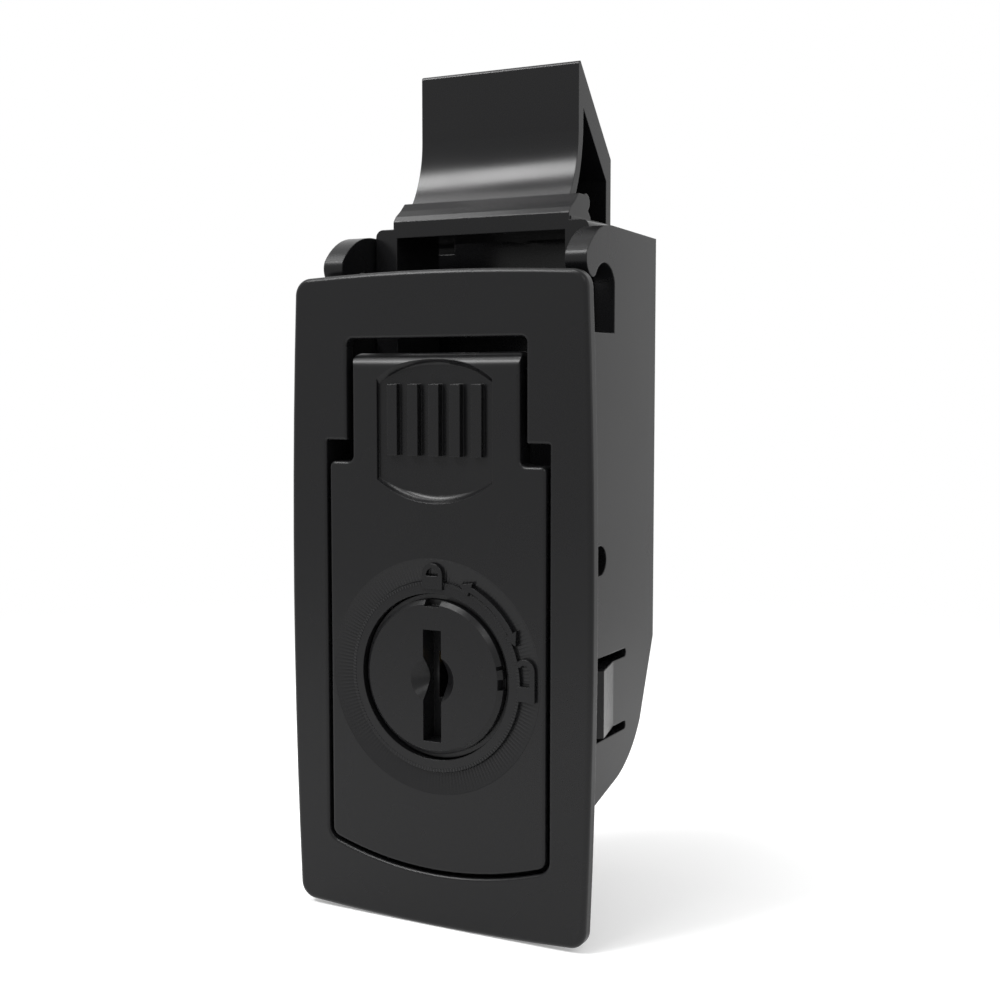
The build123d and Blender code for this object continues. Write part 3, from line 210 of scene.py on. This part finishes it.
def closed_mesh(rows, ring):
    """Points, face corners and face sizes of a closed surface through rows of equal section loops.

    rows is an array of stations by loop points by x, y and z. A ring joins its last station
    to its first, and otherwise both ends are capped. The faces are turned to look outwards."""
    stations, loop = rows.shape[:2]
    points = rows.reshape(-1, 3)
    last = stations if ring else stations - 1
    i, j = np.meshgrid(np.arange(last), np.arange(loop), indexing="ij")
    near, far = i * loop, (i + 1) % stations * loop
    after = (j + 1) % loop
    quads = np.stack([near + j, far + j, far + after, near + after], axis=-1).reshape(-1, 4)
    triangles = points[quads[:, :3]]
    volume = np.einsum("ij,ij->i", triangles[:, 0], np.cross(triangles[:, 1], triangles[:, 2])).sum()
    caps = np.empty((0, loop), int)
    if not ring:
        caps = np.stack([np.arange(loop), np.arange(loop)[::-1] + (stations - 1) * loop])
    if volume <= 0:
        quads, caps = quads[:, ::-1], caps[:, ::-1]
    sizes = np.repeat([4, loop], [len(quads), len(caps)])
    return points, np.concatenate([quads.ravel(), caps.ravel()]), sizes


def add_piece(name, parts, body, material):
    """One object from several closed surfaces, riding on a body of the frame."""
    first = np.cumsum([0] + [len(part[0]) for part in parts[:-1]])
    points = np.concatenate([part[0] for part in parts])
    corners = np.concatenate([part[1] + start for part, start in zip(parts, first)])
    sizes = np.concatenate([part[2] for part in parts])
    mesh = bpy.data.meshes.new(name)
    mesh.vertices.add(len(points))
    mesh.vertices.foreach_set("co", points.astype(np.float32).ravel())
    mesh.loops.add(len(corners))
    mesh.loops.foreach_set("vertex_index", corners.astype(np.int32))
    mesh.polygons.add(len(sizes))
    mesh.polygons.foreach_set("loop_start", (np.cumsum(sizes) - sizes).astype(np.int32))
    mesh.update(calc_edges=True)
    mesh.shade_flat()
    mesh.materials.append(bpy.data.materials[material])
    piece = bpy.data.objects.new(name, mesh)
    bpy.context.scene.collection.objects.link(piece)
    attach(piece, body)
    return piece


def raised_mark(outline, hole, top_y, foot_y, edge):
    """A raised flat mark from its outline in x and z.

    The walls run from foot_y out to top_y, and the upper rim is cut back by edge. A hole is a loop
    with as many points as the outline, each beside its neighbour there, or None."""
    def offset(loop, amount):
        along = np.roll(loop, -1, axis=0) - np.roll(loop, 1, axis=0)
        along /= np.linalg.norm(along, axis=1, keepdims=True)
        return loop + amount * np.stack([-along[:, 1], along[:, 0]], axis=1)

    def rim(loop, amount):
        levels = ((loop, foot_y), (loop, top_y + edge), (offset(loop, amount), top_y))
        return [np.insert(points, 1, level, axis=1) for points, level in levels]

    if hole is None:
        return closed_mesh(np.stack(rim(outline, edge)), ring=False)
    return closed_mesh(np.stack(rim(outline, edge) + rim(hole, -edge)[::-1], axis=1), ring=True)


def arc(centre, radius, start, end, count):
    """Points on a circle in x and z, from one angle to another in degrees."""
    turn = np.radians(np.linspace(start, end, count))
    return np.stack([centre[0] + radius * np.cos(turn), centre[1] + radius * np.sin(turn)], axis=1)


def from_lock(sizes):
    """Sizes of a mark in metres, with its heights measured from the origin and not from the lock."""
    return {name: value * MM + (LOCK_Z if "z" in name else 0) for name, value in sizes.items()}


def closed_padlock(x_mid, foot_z, hole_z, arch_z, outer_r, inner_r):
    """Outline and hole of a padlock whose body and bow have the same width."""
    steps = 24
    side = np.linspace(0, 1, 7)[:, None]
    right = np.array([x_mid + outer_r, foot_z]), np.array([x_mid + outer_r, arch_z])
    left = np.array([x_mid - outer_r, arch_z]), np.array([x_mid - outer_r, foot_z])
    outline = np.concatenate([right[0] + side[:-1] * (right[1] - right[0]),
                              arc((x_mid, arch_z), outer_r, 0, 180, steps),
                              left[0] + side[1:] * (left[1] - left[0])])
    low_right, low_left = np.array([x_mid + inner_r, hole_z]), np.array([x_mid - inner_r, hole_z])
    middle = np.array([x_mid, hole_z])
    hole = np.concatenate([middle + side[:-1] * (low_right - middle),
                           arc((x_mid, arch_z), inner_r, 0, 180, steps),
                           low_left + side[1:] * (middle - low_left)])
    return outline, hole


def open_padlock(x_low, x_high, z_low, z_high, arch_x, arch_z, outer_r, inner_r, cut_angle):
    """Outline of a padlock whose bow stands on its right leg and ends in the air at the left."""
    arch = arch_x, arch_z
    return np.concatenate([
        [(x_low, z_low), (x_high, z_low)],
        arc(arch, outer_r, 0, cut_angle, 20),
        arc(arch, inner_r, cut_angle, 0, 20),
        [(arch_x + inner_r, z_high), (x_low, z_high)]])


def double_arrow(radius, angle_low, angle_high, head_angle, shaft, head):
    """Outline of a curved arrow with a head at each end, along a circle about the lock's axis."""
    base_low, base_high = angle_low + head_angle, angle_high - head_angle
    centre = (0, LOCK_Z)

    def spot(distance, angle):
        return arc(centre, distance, angle, angle, 1)

    return np.concatenate([
        spot(radius, angle_low), spot(radius + head / 2, base_low),
        arc(centre, radius + shaft / 2, base_low, base_high, 24),
        spot(radius + head / 2, base_high), spot(radius, angle_high), spot(radius - head / 2, base_high),
        arc(centre, radius - shaft / 2, base_high, base_low, 24), spot(radius - head / 2, base_low)])


def fluted_ring(inner_r, land_r, outer_r, dish_r, dish_depth, filled_depth, flute_height, tooth, count):
    """A thin ring of fine radial flutes that lies on the cone round the lock.

    Its inner end is a row of small teeth on the flat land beside the lock. Past the land the flutes
    run up the cone, where they fade to nothing at the outside. The underside is sunk into the lever."""
    samples, sunk, land_lift = 8, 0.1 * MM, 0.01 * MM
    angle = np.linspace(0, 2 * math.pi, count * samples, endpoint=False)
    foot_r = land_r + 0.12 * MM
    radius = np.concatenate([np.linspace(inner_r, land_r, 4), np.linspace(foot_r, outer_r, 7)])
    on_cone = (dish_r - radius) / (dish_r - foot_r)
    base_y = FACE_Y + np.where(radius > land_r, filled_depth * on_cone, land_lift)
    height = np.where(radius > land_r, flute_height * (outer_r - radius) / (outer_r - foot_r), tooth)
    wave = np.abs(np.cos(angle * count / 2))
    top_y = base_y - height * wave[:, None]
    under_y = FACE_Y + sunk + dish_depth * np.clip((dish_r - radius) / (dish_r - land_r), 0, 1)
    under_y[0] = FACE_Y + sunk
    depth = np.concatenate([top_y, np.broadcast_to(under_y[::-1], top_y.shape)], axis=1)
    reach = np.concatenate([radius, radius[::-1]])
    rows = np.stack([np.cos(angle)[:, None] * reach, depth,
                     LOCK_Z + np.sin(angle)[:, None] * reach], axis=-1)
    return closed_mesh(rows, ring=True)


def turned_arc(profile, start, end):
    """A section of radius and y, turned about the lock's axis from one angle to another in degrees.

    It has a station about every two degrees."""
    turn = np.radians(np.linspace(start, end, max(2, int((end - start) / 2))))[:, None]
    radius, y = profile.T
    return closed_mesh(np.stack([np.cos(turn) * radius, np.broadcast_to(y, (len(turn), len(y))),
                                 LOCK_Z + np.sin(turn) * radius], axis=-1), ring=False)


def leaning_block(low, high):
    """A box from its low corner to its high corner, whose front leans back to a thin foot."""
    foot = 0.1 * MM
    section = [(low[1], high[2]), (high[1] - foot, low[2]), (high[1], low[2]), (high[1], high[2])]
    rows = [[(x, y, z) for y, z in section] for x in (low[0], high[0])]
    return closed_mesh(np.array(rows), ring=False)


def coil_spring(low, high, wire, turns):
    """A round wire wound to a coil that fills the box from low to high.

    Its middle line is a helix whose end turns close up, and the wire's circle is carried along it."""
    per_turn = 24
    turn = np.linspace(0, turns, int(turns * per_turn) + 1)[:, None]
    rise = high[2] - low[2] - wire
    closed = 0.75
    height = np.interp(turn, [0, closed, turns - closed, turns],
                       [0, closed * wire, rise - closed * wire, rise]) + low[2] + wire / 2
    around = np.linspace(0, 2 * math.pi, 10, endpoint=False)
    reach = (high[0] - low[0] - wire) / 2 + wire / 2 * np.cos(around)
    return closed_mesh(np.stack([(low[0] + high[0]) / 2 + reach * np.cos(2 * math.pi * turn),
                                 (low[1] + high[1]) / 2 + reach * np.sin(2 * math.pi * turn),
                                 height + wire / 2 * np.sin(around)], axis=-1), ring=False)


class LatchFinish(bpy.types.PropertyGroup):
    """Colours and roughness of the latch's materials."""

    plastic_colour: bpy.props.StringProperty(
        name="Plastic colour", description="sRGB hex colour of the black moulded plastic",
        default="#111112")
    plastic_roughness: bpy.props.FloatProperty(
        name="Plastic roughness", description="Roughness of the moulded satin face",
        default=0.27, min=0.0, max=1.0, subtype="FACTOR")
    plastic_specular: bpy.props.FloatProperty(
        name="Plastic specular", description="Specular level of the moulded satin face",
        default=0.2, min=0.0, max=1.0, subtype="FACTOR")
    bolt_roughness: bpy.props.FloatProperty(
        name="Bolt roughness", description="Roughness of the smoother acetal bolt",
        default=0.2, min=0.0, max=1.0, subtype="FACTOR")
    grain: bpy.props.FloatProperty(
        name="Grain spacing", description="Spacing of the mould texture's pebble",
        default=0.00012, unit="LENGTH", precision=6)


class LatchFlutes(bpy.types.PropertyGroup):
    """Sizes of the fluted ring round the lock, in metres."""

    count: bpy.props.IntProperty(name="Flutes", description="Number of flutes all round", default=180)
    inner_radius: bpy.props.FloatProperty(
        name="Inner radius", description="Where the teeth begin on the flat land", default=0.0089,
        unit="LENGTH", precision=5)
    land_radius: bpy.props.FloatProperty(
        name="Land radius", description="Where the flat land ends", default=0.0092,
        unit="LENGTH", precision=5)
    outer_radius: bpy.props.FloatProperty(
        name="Outer radius", description="Where the flutes end", default=0.01132,
        unit="LENGTH", precision=5)
    dish_radius: bpy.props.FloatProperty(
        name="Dish radius", description="Where the cone meets the lever's face", default=0.0114,
        unit="LENGTH", precision=5)
    dish_depth: bpy.props.FloatProperty(
        name="Dish depth", description="Depth of the lever's cone at the land", default=0.00065,
        unit="LENGTH", precision=6)
    filled_depth: bpy.props.FloatProperty(
        name="Filled depth", description="Depth of the flutes' inner end below the face", default=0.0003,
        unit="LENGTH", precision=6)
    height: bpy.props.FloatProperty(
        name="Flute height", description="Height of a flute over its valleys", default=0.00002,
        unit="LENGTH", precision=6)
    tooth: bpy.props.FloatProperty(
        name="Tooth height", description="Height of the teeth over the flat land", default=0.00005,
        unit="LENGTH", precision=6)


class LatchMarks(bpy.types.PropertyGroup):
    """Sizes of the raised marks beside the lock, in metres."""

    foot_depth: bpy.props.FloatProperty(
        name="Foot depth", description="How far behind the face the marks' walls reach", default=0.0007,
        unit="LENGTH", precision=5)
    proud: bpy.props.FloatProperty(
        name="Proud", description="How far the marks stand above the face", default=0.00025,
        unit="LENGTH", precision=6)
    edge: bpy.props.FloatProperty(
        name="Edge", description="Width of the soft upper edge", default=0.00003,
        unit="LENGTH", precision=6)
    arrow_radius: bpy.props.FloatProperty(
        name="Arrow radius", description="Radius of the arrow's middle line", default=0.0096,
        unit="LENGTH", precision=5)
    arrow_start: bpy.props.FloatProperty(
        name="Arrow start", description="Angle of the lower tip, in degrees", default=22.8)
    arrow_end: bpy.props.FloatProperty(
        name="Arrow end", description="Angle of the upper tip, in degrees", default=72.4)
    arrow_head: bpy.props.FloatProperty(
        name="Arrow head", description="Angle that a head takes up, in degrees", default=7.3)


class LatchSprings(bpy.types.PropertyGroup):
    """Wire and turns of the coil springs."""

    wire: bpy.props.FloatProperty(
        name="Wire", description="Wire diameter of the slam and return springs", default=0.00036,
        unit="LENGTH", precision=6)
    turns: bpy.props.FloatProperty(
        name="Turns", description="Turns of the slam and return springs", default=6.0)
    wafer_wire: bpy.props.FloatProperty(
        name="Wafer wire", description="Wire diameter of the wafer springs", default=0.00016,
        unit="LENGTH", precision=6)
    wafer_turns: bpy.props.FloatProperty(
        name="Wafer turns", description="Turns of the wafer springs", default=4.0)


class LatchStudio(bpy.types.PropertyGroup):
    """Floor, lights and camera."""

    focal_length: bpy.props.FloatProperty(
        name="Focal length", description="Camera lens for a 36 mm wide sensor", default=52.47)
    floor_colour: bpy.props.StringProperty(
        name="Floor colour", description="sRGB hex colour of the studio floor", default="#f0f0f0")
    surround: bpy.props.FloatProperty(
        name="Surround", description="Strength of the even light from all round", default=0.72, min=0.0)


class LATCH_OT_studio(bpy.types.Operator):
    """Floor, soft lights, white surround and the camera"""

    bl_idname = "latch.studio"
    bl_label = "Studio"

    def execute(self, context):
        studio = context.scene.latch_studio
        build_camera(studio.focal_length)
        build_floor(linear(studio.floor_colour), studio.surround)
        build_surround(studio.surround)
        build_lights()
        return {"FINISHED"}


class LATCH_OT_finish(bpy.types.Operator):
    """Materials of the moulded, cast, turned and sprung pieces"""

    bl_idname = "latch.finish"
    bl_label = "Finishes"

    def execute(self, context):
        finish = context.scene.latch_finish
        makers = {
            "housing_plastic": lambda: moulded_plastic(
                "black_polyamide_satin_moulded", finish.plastic_colour, finish.plastic_roughness,
                finish.plastic_specular, finish.grain, edge_radius=0.00018),
            "lever_plastic": lambda: moulded_plastic(
                "black_polyamide_lever", finish.plastic_colour, finish.plastic_roughness,
                finish.plastic_specular, finish.grain, edge_radius=0.00012),
            "bolt_plastic": lambda: moulded_plastic(
                "black_acetal_smooth_moulded", finish.plastic_colour, finish.bolt_roughness,
                finish.plastic_specular, finish.grain, edge_radius=0.00012),
            "plug_black": lambda: coated_zinc(
                "black_coated_zinc_plug", "#101011", roughness=0.3, specular=0.2),
            "lock_zinc": lambda: coated_zinc(
                "black_coated_zinc_sleeve", "#19191a", roughness=0.4, specular=0.3),
            "steel_pin": lambda: bare_metal(
                "black_oxide_steel", "#3c3c3e", roughness=0.35, streaks=0.0001),
            "zinc_plate": lambda: bare_metal(
                "zinc_plated_steel", "#c9cbce", roughness=0.32, streaks=0.0001),
            "spring_steel": lambda: bare_metal(
                "drawn_spring_wire", "#a5a5a7", roughness=0.3, streaks=0.00006),
            "wafer_brass": lambda: bare_metal("stamped_brass", "#d8b871", roughness=0.3, streaks=0.0001),
        }
        made = {slot: make() for slot, make in makers.items()}
        # The flutes and marks are the lever's plastic, with edges too fine for its rounding.
        moulded_plastic("black_polyamide_fine_relief", finish.plastic_colour, finish.plastic_roughness,
                        finish.plastic_specular, finish.grain, edge_radius=0.00002)
        for name, node in frame["nodes"].items():
            for holder in node.material_slots:
                holder.link = "OBJECT"
                holder.material = made[NODE_SLOT[name]]
        return {"FINISHED"}


class LATCH_OT_flutes(bpy.types.Operator):
    """The fluted ring round the lock"""

    bl_idname = "latch.flutes"
    bl_label = "Fluted ring"

    def execute(self, context):
        size = context.scene.latch_flutes
        ring = fluted_ring(size.inner_radius, size.land_radius, size.outer_radius, size.dish_radius,
                           size.dish_depth, size.filled_depth, size.height, size.tooth, size.count)
        add_piece("lock_ring_flutes", [ring], "lever", "black_polyamide_fine_relief")
        return {"FINISHED"}


class LATCH_OT_marks(bpy.types.Operator):
    """A closed padlock, an open padlock and a curved double arrow beside the lock"""

    bl_idname = "latch.marks"
    bl_label = "Lock marks"

    def execute(self, context):
        size = context.scene.latch_marks
        closed_mark = closed_padlock(**from_lock(CLOSED_PADLOCK))
        open_mark = open_padlock(**from_lock(OPEN_PADLOCK), cut_angle=OPEN_CUT_ANGLE)
        arrow = double_arrow(size.arrow_radius, size.arrow_start, size.arrow_end, size.arrow_head,
                             ARROW_SHAFT * MM, ARROW_HEAD * MM)
        for name, outline, hole in (("mark_padlock_closed", *closed_mark),
                                    ("mark_padlock_open", open_mark, None), ("mark_arrow", arrow, None)):
            mark = raised_mark(outline, hole, FACE_Y - size.proud, FACE_Y + size.foot_depth, size.edge)
            add_piece(name, [mark], "lever", "black_polyamide_fine_relief")
        return {"FINISHED"}


class LATCH_OT_edges(bpy.types.Operator):
    """The bevel round the lock plug's face and the corners of the bolt's rear plate"""

    bl_idname = "latch.edges"
    bl_label = "Plug bevel and plate corners"

    def execute(self, context):
        section = np.array(PLUG_BEVEL) * MM
        add_piece("plug_bevel", [turned_arc(section, *span) for span in PLUG_BEVEL_ARCS],
                  "lock_plug", "black_coated_zinc_plug")
        corners = [leaning_block(*(np.array([x, y, z]) * MM
                                   for x, y, z in zip(x_range, PLATE_CORNERS_Y, PLATE_CORNERS_Z)))
                   for x_range in PLATE_CORNERS_X]
        add_piece("bolt_plate_corners", corners, "slam_bolt",
                  "black_acetal_smooth_moulded")
        return {"FINISHED"}


class LATCH_OT_springs(bpy.types.Operator):
    """Coil springs in place of the solid springs that the joints press"""

    bl_idname = "latch.springs"
    bl_label = "Springs"

    def execute(self, context):
        size = context.scene.latch_springs
        behaviour = frame["record"]["behaviour"]
        for joint in behaviour["joints"]:
            for spring in joint.get("deforming_nodes", []):
                node, fixed_z = spring["node"], spring["fixed_end_z_m"]
                small = node.startswith("wafer")
                low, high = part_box(node)
                coil = coil_spring(low, high, size.wafer_wire if small else size.wire,
                                   size.wafer_turns if small else size.turns)
                body = next(name for name, nodes in behaviour["bodies"].items() if node in nodes)
                piece = add_piece(node.replace("spring", "coil"), [coil], body,
                                  "drawn_spring_wire")
                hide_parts(node)
                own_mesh(piece)
        return {"FINISHED"}


class LATCH_PT_panel(bpy.types.Panel):
    """The latch's pieces and studio"""

    bl_idname = "LATCH_PT_panel"
    bl_label = "Push-to-close latch"
    bl_space_type = "VIEW_3D"
    bl_region_type = "UI"
    bl_category = "Latch"

    def draw(self, context):
        scene = context.scene
        for group in (getattr(scene, name) for name in GROUPS):
            for name in group.bl_rna.properties.keys():
                if name not in ("name", "rna_type"):
                    self.layout.prop(group, name)
        for operator in OPERATORS:
            self.layout.operator(operator.bl_idname)


def build_camera(focal_length):
    """The camera at the photograph's viewing angle."""
    camera = bpy.data.objects.new("camera", bpy.data.cameras.new("camera"))
    camera.location = CAMERA_PLACE
    camera.rotation_euler = (math.radians(CAMERA_TILT), 0, math.radians(CAMERA_TURN))
    camera.data.lens = focal_length
    camera.data.sensor_width = 36
    camera.data.clip_start = 0.001
    bpy.context.scene.collection.objects.link(camera)
    bpy.context.scene.camera = camera


def seen_rays(tree):
    """One for camera, mirror and clear rays, and zero for the rest."""
    rays = add_node(tree, "ShaderNodeLightPath")
    direct = add_node(tree, "ShaderNodeMath", {"operation": "MAXIMUM"},
                      links={0: (rays, "Is Camera Ray"), 1: (rays, "Is Glossy Ray")})
    return add_node(tree, "ShaderNodeMath", {"operation": "MAXIMUM"},
                    links={0: (direct, 0), 1: (rays, "Is Transmission Ray")})


def build_floor(colour, surround):
    """A wide pale floor that takes a soft shadow near the object and fades to the white surround."""
    mesh = bpy.data.meshes.new("studio_floor")
    corners = [(x * FLOOR_HALF, y * FLOOR_HALF, FLOOR_Z) for x, y in ((-1, -1), (1, -1), (1, 1), (-1, 1))]
    mesh.from_pydata(corners, [], [(0, 1, 2, 3)])
    floor = bpy.data.objects.new("studio_floor", mesh)
    bpy.context.scene.collection.objects.link(floor)
    material, tree = new_material("pale_paper_floor")
    place = add_node(tree, "ShaderNodeTexCoord")
    flat = add_node(tree, "ShaderNodeMapping", links={"Vector": (place, "Object")})
    flat.inputs["Scale"].default_value = (1.0, 1.0, 0.0)
    reach = add_node(tree, "ShaderNodeVectorMath", {"operation": "LENGTH"}, links={0: (flat, "Vector")})
    fade = add_node(tree, "ShaderNodeMapRange", {"interpolation_type": "SMOOTHSTEP"},
                    links={"Value": (reach, "Value")}, From_Min=FLOOR_FADE[0], From_Max=FLOOR_FADE[1])
    shown = seen_rays(tree)
    paper = add_node(tree, "ShaderNodeBsdfDiffuse", Color=colour)
    lift = add_node(tree, "ShaderNodeMath", {"operation": "MULTIPLY"}, links={0: (shown, 0)})
    lift.inputs[1].default_value = FLOOR_GLOW
    glow = add_node(tree, "ShaderNodeEmission", links={"Strength": (lift, 0)})
    near = add_node(tree, "ShaderNodeAddShader", links={0: (paper, "BSDF"), 1: (glow, "Emission")})
    level = add_node(tree, "ShaderNodeMapRange", links={"Value": (shown, 0)},
                     To_Min=surround, To_Max=1.0)
    white = add_node(tree, "ShaderNodeEmission", links={"Strength": (level, "Result")})
    both = add_node(tree, "ShaderNodeMixShader",
                    links={0: (fade, "Result"), 1: (near, "Shader"), 2: (white, "Emission")})
    add_node(tree, "ShaderNodeOutputMaterial", links={"Surface": (both, "Shader")})
    mesh.materials.append(material)


def build_surround(strength):
    """White behind the object and in its reflections, and a dimmer even light around it."""
    world = bpy.data.worlds.new("surround")
    bpy.context.scene.world = world
    world.use_nodes = True
    tree = world.node_tree
    tree.nodes.clear()
    shown = seen_rays(tree)
    soft = add_node(tree, "ShaderNodeBackground", Color=(1, 1, 1, 1), Strength=strength)
    white = add_node(tree, "ShaderNodeBackground", Color=(1, 1, 1, 1), Strength=1.0)
    mixed = add_node(tree, "ShaderNodeMixShader",
                     links={0: (shown, 0), 1: (soft, "Background"), 2: (white, "Background")})
    add_node(tree, "ShaderNodeOutputWorld", links={"Surface": (mixed, "Shader")})


def build_lights():
    """Soft boxes: two high at the left, one overhead, and weaker ones at the right."""
    middle = Vector(LIGHTS_AIM)
    for name, (place, size, power) in SOFTBOXES.items():
        lamp = bpy.data.lights.new(name, "AREA")
        lamp.shape = "RECTANGLE"
        lamp.size, lamp.size_y = size
        lamp.energy = power
        holder = bpy.data.objects.new(name, lamp)
        holder.location = place
        holder.rotation_euler = (middle - Vector(place)).to_track_quat("-Z", "Y").to_euler()
        bpy.context.scene.collection.objects.link(holder)


OPERATORS = (LATCH_OT_studio, LATCH_OT_finish, LATCH_OT_flutes, LATCH_OT_marks, LATCH_OT_edges,
             LATCH_OT_springs)
GROUPS = {"latch_finish": LatchFinish, "latch_flutes": LatchFlutes, "latch_marks": LatchMarks,
          "latch_springs": LatchSprings, "latch_studio": LatchStudio}


def register():
    """Adds the latch's sizes, colours, operators and panel to Blender."""
    for item in (*GROUPS.values(), *OPERATORS, LATCH_PT_panel):
        bpy.utils.register_class(item)
    for name, group in GROUPS.items():
        setattr(bpy.types.Scene, name, bpy.props.PointerProperty(type=group))


def unregister():
    """Takes them out again."""
    for name in GROUPS:
        delattr(bpy.types.Scene, name)
    for item in (LATCH_PT_panel, *OPERATORS[::-1], *GROUPS.values()):
        bpy.utils.unregister_class(item)


def main():
    """Makes every piece and the studio."""
    register()
    bpy.context.scene.view_settings.view_transform = "Standard"
    bpy.ops.latch.studio()
    bpy.ops.latch.finish()
    bpy.ops.latch.flutes()
    bpy.ops.latch.marks()
    bpy.ops.latch.edges()
    bpy.ops.latch.springs()


if __name__ == "__main__":
    main()
